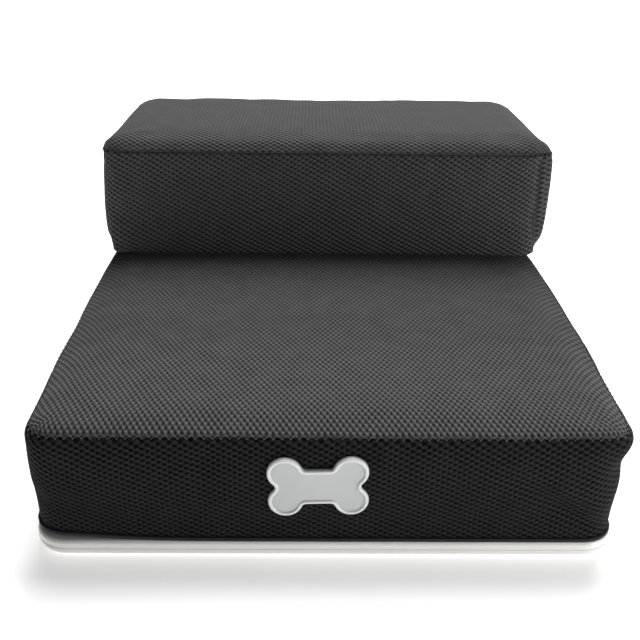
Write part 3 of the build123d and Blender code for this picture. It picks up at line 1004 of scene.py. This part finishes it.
@dataclass(frozen=True)
class CushionBox:
    """One covered box: its top panel, its wall band, the thread along its seam and its foam."""

    name: str
    shape: CoverShape
    fold: Fold
    top_body: str
    wall_body: str
    top_finish: AirMesh
    wall_finish: AirMesh
    thread: Finish
    foam: CoverShape
    cloth_thickness: float = 1.6
    top_growth: float = 0.004
    top_cap: float = 2.2
    wall_growth: float = 0.006
    wall_cap: float = 1.6
    still_rear: float = 52.0
    stitch_pitch: float = 5.6
    stitch_steps: int = 8
    stitch_reach: float = 1.3
    thread_radius: float = 0.42
    allowance_inset: float = 2.9
    allowance_height: float = 6.5
    allowance_thickness: float = 0.6
    tread_fill: float = 0.9
    wall_fill: float = 0.85

    def panels(self) -> tuple[bpy.types.Object, bpy.types.Object]:
        """Makes the top panel and the wall band, not yet dressed."""
        top = self.shape.panel().build(f"{self.name}_tread_panel")
        return top, self.shape.walls().build(f"{self.name}_wall_panels")

    def seams(self) -> tuple[Array, Array]:
        """Lines that hold the top panel and the wall band: seam, hem and the low part of the rear.

        Returns:
            Places that hold the top panel, and places that hold the wall band.
        """
        walls = self.shape.walls().points
        low = walls[..., 2] < self.shape.bottom + self.still_rear
        rear = walls[(walls[..., 1] > self.shape.rear - 1) & low]
        return walls[0], np.concatenate([walls[0], *walls[-4:], rear])

    def finish_cloth(self, top: bpy.types.Object, walls: bpy.types.Object) -> None:
        """Thickens the two pieces of the cover, dresses them and ties them to the frame.

        Args:
            top: the top panel.
            walls: the wall band.
        """
        for piece in (top, walls):
            smooth = piece.modifiers.new("Smooth", "SUBSURF")
            smooth.levels = smooth.render_levels = 1
            thick = piece.modifiers.new("Thickness", "SOLIDIFY")
            thick.thickness = self.cloth_thickness * MM
            thick.offset = -1.0
        enter(top, self.top_body, "mesh_cloth", self.top_finish, f"{self.name}_cover_top")
        enter(walls, self.wall_body, "mesh_cloth", self.wall_finish, f"{self.name}_cover_walls")
        self.fold.squash(walls, float(self.shape.seam_path()[0][:, 2].mean()))

    def stitches(self) -> bpy.types.Object:
        """Overlock thread in arches: seam(s) less the size of a half-rate sine, rippling outwards.

        Returns:
            The new object.
        """
        line, out = self.shape.seam_path()
        length = np.concatenate([[0.0], np.cumsum(np.linalg.norm(np.diff(line, axis=0), axis=1))])
        steps = round(length[-1] / self.stitch_pitch) * self.stitch_steps
        at = np.linspace(0, length[-1], steps, endpoint=False)
        centre = np.stack([np.interp(at, length, line[:, axis]) for axis in range(3)], -1)
        away = np.stack([np.interp(at, length, out[:, axis]) for axis in range(2)], -1)
        away = away / np.linalg.norm(away, axis=1, keepdims=True)
        tilt = self.shape.seam
        face = np.concatenate([away * math.sin(tilt), np.full((steps, 1), math.cos(tilt))], -1)
        down = np.concatenate([away * math.cos(tilt), np.full((steps, 1), -math.sin(tilt))], -1)
        phase = np.arange(steps) * (2 * math.pi / self.stitch_steps)
        arch = self.stitch_reach * (1 - 2 * np.abs(np.sin(phase / 2)))
        path = centre + down * arch[:, None] + face * (0.5 + 0.25 * np.cos(2 * phase))[:, None]
        points, faces = sweep(path[None], face[None], down[None], circle(self.thread_radius, 5), True)
        piece = mesh_object(f"{self.name}_seam_stitches", points, faces)
        return enter(piece, self.top_body, "mesh_cloth", self.thread)

    def allowance(self) -> bpy.types.Object:
        """Spare cloth inside the seam: a band from just under the seam straight down inside the walls.

        Returns:
            The new object.
        """
        line, out = self.shape.seam_path()
        away = np.concatenate([out / np.linalg.norm(out, axis=1, keepdims=True), np.zeros((len(out), 1))], -1)
        levels = np.linspace(0.5, self.allowance_height, 3)[:, None, None] * np.array([0.0, 0.0, -1.0])
        points = (line - away * self.allowance_inset)[None] + levels
        band = Patch(points, np.zeros((*points.shape[:2], 2)), Facing.AGAINST)
        piece = band.build(f"{self.name}_seam_allowance")
        thick = piece.modifiers.new("Thickness", "SOLIDIFY")
        thick.thickness = self.allowance_thickness * MM
        thick.offset = -1.0
        return enter(piece, self.top_body, "mesh_cloth", DARK_THREAD)

    def foam_pad(self) -> bpy.types.Object:
        """Foam slab under the top panel: a rounded top and wall, closed by a level underside.

        Returns:
            The new object.
        """
        shape = self.foam
        panel, walls = shape.panel(), shape.walls()
        place, core, out, reach = shape.panel_grid()
        under = core + out * (reach * ((shape.corner - shape.foot) / reach.max()))[..., None]
        under = np.concatenate([under, np.full((*reach.shape, 1), shape.bottom)], -1)
        sheets = [panel, walls, Patch(under, place, Facing.AGAINST)]
        points = np.concatenate([sheet.points.reshape(-1, 3) for sheet in sheets])
        starts = np.cumsum([0] + [sheet.points.shape[0] * sheet.points.shape[1] for sheet in sheets[:-1]])
        grids = [grid_faces(*sheet.points.shape[:2], sheet.facing) for sheet in sheets]
        faces = np.concatenate([grid + start for grid, start in zip(grids, starts)])
        piece = mesh_object(f"{self.name}_foam", points, faces)
        merge_doubles(piece)
        enter(piece, self.top_body, "foam", SLOT_FINISHES["foam"], f"{self.name}_foam_pad")
        return piece


class FoamShape(CoverShape):
    """A foam slab, which has plain sides."""

    def fullness(self, points: Array, out: Array, down: Array) -> Array:
        """Flat sides."""
        return np.zeros(points.shape[:-1])

    def crease(self, points: Array, turn: Array) -> Array:
        """No seam."""
        return np.zeros(points.shape[:-1])

    def wall_rows(self) -> tuple[Array, Array, Array, Array]:
        """A low wall that turns in to a square underside.

        Returns:
            Four arrays with one number a row: reach, share of height, height offset and turn.
        """
        top = np.array([self.seam])
        under = np.linspace(0, math.pi / 2, 4)
        reach = np.concatenate([[self.corner], self.corner - self.foot * (1 - np.cos(under))])
        weight = np.concatenate([[1.0], np.zeros(4)])
        offset = np.concatenate([[0.0], -self.foot * np.sin(under)])
        turn = np.concatenate([top, math.pi / 2 + under])
        return reach, weight, offset, turn


def foam_shape(cover: CoverShape, bottom: float, below: float, edge: float) -> FoamShape:
    """Foam slab that fills a cover's top from a level board up.

    Args:
        cover: the cover that it fills.
        bottom: height of the board.
        below: how far its top lies under the cover.
        edge: radius of its top edge.

    Returns:
        The slab.
    """
    inset = 6.6
    return FoamShape(
        left=cover.left + inset,
        right=cover.right - inset,
        front=cover.front + inset,
        rear=cover.rear - inset,
        bottom=bottom,
        top_front=cover.top_front - below,
        top_rear=cover.top_rear - below,
        corner=max(cover.corner - inset, 9.0),
        edge=edge,
        foot=edge * 0.4,
        seam=math.pi / 2,
        crown=0.0,
        slope_cells=0,
        spacing=12.0,
    )


BOXES = (
    CushionBox(
        name="lower",
        shape=LOWER,
        fold=Fold.LOWER,
        top_body="lower_top",
        wall_body="base",
        top_finish=TREAD_MESH,
        wall_finish=LOWER_WALL_SHADED_MESH,
        thread=THREAD,
        foam=foam_shape(LOWER, bottom=87.0, below=5.7, edge=3.0),
    ),
    CushionBox(
        name="upper",
        shape=UPPER,
        fold=Fold.UPPER,
        top_body="upper_top",
        wall_body="lower_top",
        top_finish=TOP_MESH,
        wall_finish=UPPER_MESH,
        thread=DARK_THREAD,
        foam=foam_shape(UPPER, bottom=193.0, below=5.9, edge=1.1),
    ),
)


# ---------------------------------------------------------------- trim


@dataclass(frozen=True)
class Trim:
    """Bound hem of the lower cover and the piping up the right corners of the upper one."""

    hem_height: float = 3.0
    hem_thickness: float = 2.6
    hem_out: float = 0.3
    hem_overlap: float = 2.9
    piping: float = 1.5
    piping_sink: float = 0.4

    def hem(self) -> bpy.types.Object:
        """Binding: a rounded oblong profile carried once round the lower edge of the wall band.

        Returns:
            The new object.
        """
        line = LOWER.walls().points[-1][:-1]
        _, _, out, _ = LOWER.panel_grid()
        away = out.reshape(-1, 2)[LOWER.rim()][:-1]
        away = np.concatenate([away, np.zeros((len(away), 1))], -1)
        up = np.broadcast_to(np.array([0.0, 0.0, 1.0]), away.shape)
        turn = np.linspace(0, 2 * math.pi, 12, endpoint=False)
        side = np.sign(np.cos(turn)) * np.abs(np.cos(turn)) ** 0.5 * self.hem_thickness / 2
        high = np.sign(np.sin(turn)) * np.abs(np.sin(turn)) ** 0.5 * self.hem_height / 2
        centre = line + away * self.hem_out + up * (self.hem_height / 2 - self.hem_overlap)
        points, faces = sweep(centre[None], away[None], up[None], np.stack([side, high], -1), True)
        piece = mesh_object("lower_hem", points, faces)
        return enter(piece, "base", "hem_cloth", BINDING, "hem_binding")

    def corner_piping(self) -> bpy.types.Object:
        """Thin cords in the grooves of the upper cover's right panel, pointed at both ends.

        Returns:
            The new object.
        """
        walls = UPPER.walls().points
        _, _, out, _ = UPPER.panel_grid()
        out = out.reshape(-1, 2)[UPPER.rim()]
        paths, aways = [], []
        for side in (-1, 1):
            column = int(np.argmin(np.abs(out[:, 0] - UPPER.groove_turn) + 4 * (out[:, 1] * side < 0)))
            paths.append(walls[1:-2, column])
            aways.append(np.broadcast_to(np.array([*out[column], 0.0]), walls[1:-2, column].shape))
        path, away = np.stack(paths), np.stack(aways)
        up = np.stack([-away[..., 1], away[..., 0], away[..., 2]], -1)
        steps = path.shape[1]
        taper = np.sqrt(np.clip(np.sin(np.linspace(0, math.pi, steps)) * 4, 0, 1))
        profile = circle(self.piping, 8)[None] * taper[:, None, None]
        points, faces = sweep(path - away * self.piping_sink, away, up, profile, False)
        piece = mesh_object("upper_corner_piping", points, faces)
        merge_doubles(piece)
        enter(piece, "lower_top", "mesh_cloth", PIPING, "upper_corner_welts")
        Fold.UPPER.squash(piece, float(UPPER.seam_path()[0][:, 2].mean()))
        return piece


# ---------------------------------------------------------------- badge


@dataclass(frozen=True)
class Badge:
    """Plain bone-shaped patch with a raised, bevelled border."""

    x: float = -6.0
    z: float = 61.5
    lobe: float = 11.75
    width: float = 67.0
    height: float = 46.0
    shank: float = 27.0
    fillet: float = 3.5
    border: float = 2.6
    tilt: float = math.radians(1.5)

    def outline(self) -> Array:
        """Bone outline once round, counter-clockwise: four lobe arcs joined by concave fillets.

        Returns:
            Places across and up, (count, 2), in millimetres.
        """
        across, up = self.width / 2 - self.lobe, self.height / 2 - self.lobe
        reach = self.lobe + self.fillet
        low = self.shank / 2 + self.fillet - up
        notch = np.array([across - math.sqrt(reach**2 - low**2), self.shank / 2 + self.fillet])
        end = np.array([across + math.sqrt(reach**2 - up**2), 0.0])
        lobe = np.array([across, up])
        start = math.atan2(*(end - lobe)[::-1])
        stop = math.atan2(*(notch - lobe)[::-1])
        turn = np.linspace(start, stop, 33)
        arc = lobe + self.lobe * np.stack([np.cos(turn), np.sin(turn)], -1)
        side = np.linspace(math.pi, math.pi + start, 6)[:-1]
        first = end + self.fillet * np.stack([np.cos(side), np.sin(side)], -1)
        dip = np.linspace(stop + math.pi, 1.5 * math.pi, 8)[1:]
        last = notch + self.fillet * np.stack([np.cos(dip), np.sin(dip)], -1)
        rail = np.stack([np.linspace(notch[0], 0, 8)[1:], np.full(7, self.shank / 2)], -1)
        quarter = np.concatenate([first, arc, last, rail])
        second = (quarter * [-1, 1])[::-1][1:]
        half = np.concatenate([quarter, second])
        return np.concatenate([half, (half * [1, -1])[::-1][1:-1]])

    def rings(self, insets: Array, heights: Array) -> Array:
        """The outline drawn in by each inset along its own normal, and raised to each height.

        Args:
            insets: how far each ring is drawn in.
            heights: how far each ring is raised.

        Returns:
            Places across, up and raised, (rings, count, 3).
        """
        line = self.outline()
        along = np.roll(line, -1, axis=0) - np.roll(line, 1, axis=0)
        along /= np.linalg.norm(along, axis=1, keepdims=True)
        inward = np.stack([-along[:, 1], along[:, 0]], -1)
        flat = line[None] + inward[None] * insets[:, None, None]
        return np.concatenate([flat, np.broadcast_to(heights[:, None, None], (*flat.shape[:2], 1))], -1)

    def place(self, rings: Array) -> Array:
        """Puts badge rings (across, up, raised) on the front wall, following its swell.

        Args:
            rings: places across, up and raised.

        Returns:
            Places in the stair.
        """
        across = rings[..., 0] * math.cos(self.tilt) - rings[..., 1] * math.sin(self.tilt)
        up = rings[..., 0] * math.sin(self.tilt) + rings[..., 1] * math.cos(self.tilt)
        base = np.stack([self.x + across, np.full_like(across, LOWER.front), self.z + up], -1)
        out = np.zeros((*across.shape, 2))
        out[..., 1] = -1.0
        high = LOWER.top_front - LOWER.edge
        down = np.clip((high - base[..., 2]) / (high - LOWER.bottom), 0, 1)
        swell = LOWER.fullness(base, out, down)
        lift = swell.max() + 0.9
        base[..., 1] -= lift + rings[..., 2]
        return base

    def shell(self, name: str, insets: Array, heights: Array) -> bpy.types.Object:
        """Closed surface through the rings, with its first ring joined to its last.

        Args:
            name: name of the piece.
            insets: how far each ring is drawn in.
            heights: how far each ring is raised.

        Returns:
            The new object.
        """
        rings = self.place(self.rings(insets, heights))
        rings = np.concatenate([rings, rings[:, :1]], axis=1)
        faces = grid_faces(*rings.shape[:2], Facing.AGAINST)
        piece = mesh_object(name, rings.reshape(-1, 3), faces)
        merge_doubles(piece)
        return piece

    def plate(self) -> bpy.types.Object:
        """Field of the badge: the outline raised a little, closed towards its middle line front and back.

        Returns:
            The new object.
        """
        rings = self.rings(np.array([0.6, 0.0, 0.0, 0.35]), np.array([-1.6, -1.2, 0.7, 1.1]))
        spine = np.clip(rings[0] * [0.45, 0.0, 0.0], -12.0, 12.0)
        shares = np.linspace(0, 1, 6)[:, None, None]
        face = rings[-1] + (spine + [0, 0, 1.1] - rings[-1]) * shares
        back = spine + [0, 0, -1.6] + (rings[0] - spine - [0, 0, -1.6]) * shares
        placed = self.place(np.concatenate([back, rings[1:], face[1:]]))
        placed = np.concatenate([placed, placed[:, :1]], axis=1)
        faces = grid_faces(*placed.shape[:2], Facing.AGAINST)
        piece = mesh_object("badge_plate", placed.reshape(-1, 3), faces)
        merge_doubles(piece)
        enter(piece, "base", "badge", SLOT_FINISHES["badge"], "bone_badge")
        Fold.LOWER.squash(piece, float(LOWER.seam_path()[0][:, 2].mean()))
        return piece

    def frame(self) -> bpy.types.Object:
        """Raised border: a half-round bead just inside the outline.

        Returns:
            The new object.
        """
        turn = np.linspace(0, 2 * math.pi, 17)
        insets = 0.15 + self.border / 2 - self.border / 2 * np.cos(turn)
        heights = 1.0 + np.where(np.sin(turn) > 0, 1.3, 0.4) * np.sin(turn)
        piece = self.shell("badge_border", insets, heights)
        enter(piece, "base", "badge_edge", SLOT_FINISHES["badge_edge"], "badge_rim")
        Fold.LOWER.squash(piece, float(LOWER.seam_path()[0][:, 2].mean()))
        return piece


# ---------------------------------------------------------------- zipper


@dataclass(frozen=True)
class Zipper:
    """Coil of the zipper along the rear hem: two rows of nylon loops that mesh with each other."""

    pitch: float = 2.4
    wire: float = 0.45
    margin: float = 0.5
    shift: float = 0.2
    sides: int = 5
    steps: int = 7

    def teeth(self) -> bpy.types.Object:
        """Every tooth is a small arch from the tape's edge over the middle: half an ellipse, ends tapered.

        Returns:
            The new object.
        """
        low, high = (np.array(corner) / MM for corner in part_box("zipper_coil"))
        count = int((high[0] - low[0]) / self.pitch)
        middle = (low[2] + high[2]) / 2
        base, top = low[1], high[1]
        x = low[0] + (np.arange(count) + 0.5) * (high[0] - low[0]) / count
        side = np.where(np.arange(count) % 2 == 0, 1.0, -1.0)
        turn = np.linspace(0, math.pi, self.steps)
        reach = (high[2] - low[2]) / 2 - self.margin
        across = np.cos(turn)[None] * reach * side[:, None] + side[:, None] * self.shift
        lift = np.sin(turn)[None] * (top - base - self.wire) + np.zeros((count, 1))
        path = np.stack([x[:, None] + np.zeros_like(across), base + lift, middle + across], -1)
        along = np.zeros_like(path)
        along[..., 0] = 1.0
        tangent = np.gradient(path, axis=1)
        tangent /= np.linalg.norm(tangent, axis=-1, keepdims=True)
        normal = np.cross(tangent, along)
        taper = np.array([0.0, *np.ones(self.steps - 2), 0.0])
        profile = circle(self.wire, self.sides)[None] * taper[:, None, None]
        points, faces = sweep(path, along, normal, profile, False)
        piece = mesh_object("zipper_teeth", points, faces)
        merge_doubles(piece)
        return enter(piece, "base", "zip_coil", SLOT_FINISHES["zip_coil"], "zipper_coil")


# ---------------------------------------------------------------- studio


@dataclass(frozen=True)
class Studio:
    """Plain pale floor, soft light and the camera."""

    eye: Place = (-0.0129, -0.695, 0.4011)
    pitch: float = 26.99
    yaw: float = 0.89
    roll: float = 0.8
    lens: float = 45.62
    floor_size: float = 9.0
    floor_colour: Colour = (0.9, 0.9, 0.9)
    sky: float = 0.12
    overhead: float = 118.0
    backdrop: float = 50.0
    fill: float = 3.8
    floor_glow: float = 0.45
    stair: Place = (0.0, 0.05, 0.1)
    overhead_place: Place = (0.3, 1.2, 2.4)
    backdrop_place: Place = (0.0, 3.4, 2.4)
    backdrop_target: Place = (0.0, 3.4, 0.0)
    fill_place: Place = (0.78, -0.68, 0.22)
    overhead_size: float = 1.7
    backdrop_size: float = 2.5
    fill_size: float = 0.4
    sensor: float = 36.0
    near: float = 0.02
    far: float = 50.0

    def floor(self) -> None:
        """Lays the floor."""
        half = self.floor_size / 2 / MM
        corners = np.array([[-half, -half, 0], [half, -half, 0], [half, half, 0], [-half, half, 0]])
        piece = mesh_object("floor", corners, np.array([[0, 1, 2, 3]]))
        WARDROBE.dress(piece, Finish("light_table", self.floor_colour, 0.9, mottle=0.0))
        shader = piece.data.materials[0].node_tree.nodes["Principled BSDF"]
        shader.inputs["Emission Color"].default_value = (1.0, 1.0, 1.0, 1.0)
        shader.inputs["Emission Strength"].default_value = self.floor_glow

    def lamp(self, name: str, place: Place, size: float, power: float, target: Place) -> None:
        """Hangs a square soft light aimed at a place.

        Args:
            name: name of the light.
            place: where it hangs.
            size: length of its side in metres.
            power: power in watts.
            target: place that it is aimed at.
        """
        data = bpy.data.lights.new(name, "AREA")
        data.energy = power
        data.size = size
        lamp = bpy.data.objects.new(name, data)
        lamp.location = place
        aim = Vector(target) - Vector(place)
        lamp.rotation_euler = aim.to_track_quat("-Z", "Y").to_euler()
        bpy.context.scene.collection.objects.link(lamp)

    def light(self) -> None:
        """Even pale surroundings with a large light above and behind and a weak one in front."""
        scene = bpy.context.scene
        scene.world = bpy.data.worlds.new("pale_studio")
        scene.world.use_nodes = True
        backdrop = scene.world.node_tree.nodes["Background"]
        backdrop.inputs["Color"].default_value = (1.0, 1.0, 1.0, 1.0)
        backdrop.inputs["Strength"].default_value = self.sky
        self.lamp("overhead_light", self.overhead_place, self.overhead_size, self.overhead, self.stair)
        self.lamp(
            "backdrop_light", self.backdrop_place, self.backdrop_size, self.backdrop, self.backdrop_target
        )
        self.lamp("front_light", self.fill_place, self.fill_size, self.fill, self.stair)
        scene.view_settings.view_transform = "Standard"

    def camera(self) -> None:
        """Places the camera in front of the stair, a little above it."""
        data = bpy.data.cameras.new("camera")
        data.lens = self.lens
        data.sensor_width = self.sensor
        data.clip_start = self.near
        data.clip_end = self.far
        camera = bpy.data.objects.new("camera", data)
        camera.location = self.eye
        down, turn, roll = (math.radians(angle) for angle in (self.pitch, self.yaw, self.roll))
        view = Euler((math.pi / 2 - down, 0.0, -turn)).to_quaternion()
        spin = Euler((0.0, 0.0, roll)).to_quaternion()
        camera.rotation_euler = (view @ spin).to_euler()
        bpy.context.scene.collection.objects.link(camera)
        bpy.context.scene.camera = camera

    def build(self) -> None:
        """Sets up everything that isn't the stair."""
        self.floor()
        self.light()
        self.camera()


def main() -> None:
    """Builds the stair's visible pieces and the studio."""
    logging.basicConfig(level=logging.INFO, format="%(name)s %(message)s")
    WARDROBE.dress_frame()
    covers = [(box, *box.panels()) for box in BOXES]
    jobs = []
    for box, top, walls in covers:
        top_seams, wall_seams = box.seams()
        jobs.append((top, top_seams, box.top_growth, box.top_cap))
        jobs.append((walls, wall_seams, box.wall_growth, box.wall_cap))
    ClothRelaxer().run(jobs)
    for box, top, walls in covers:
        box.finish_cloth(top, walls)
        box.stitches()
        box.allowance()
        box.foam_pad()
    trim = Trim()
    trim.hem()
    trim.corner_piping()
    badge = Badge()
    badge.plate()
    badge.frame()
    Zipper().teeth()
    Studio().build()


if __name__ == "__main__":
    main()
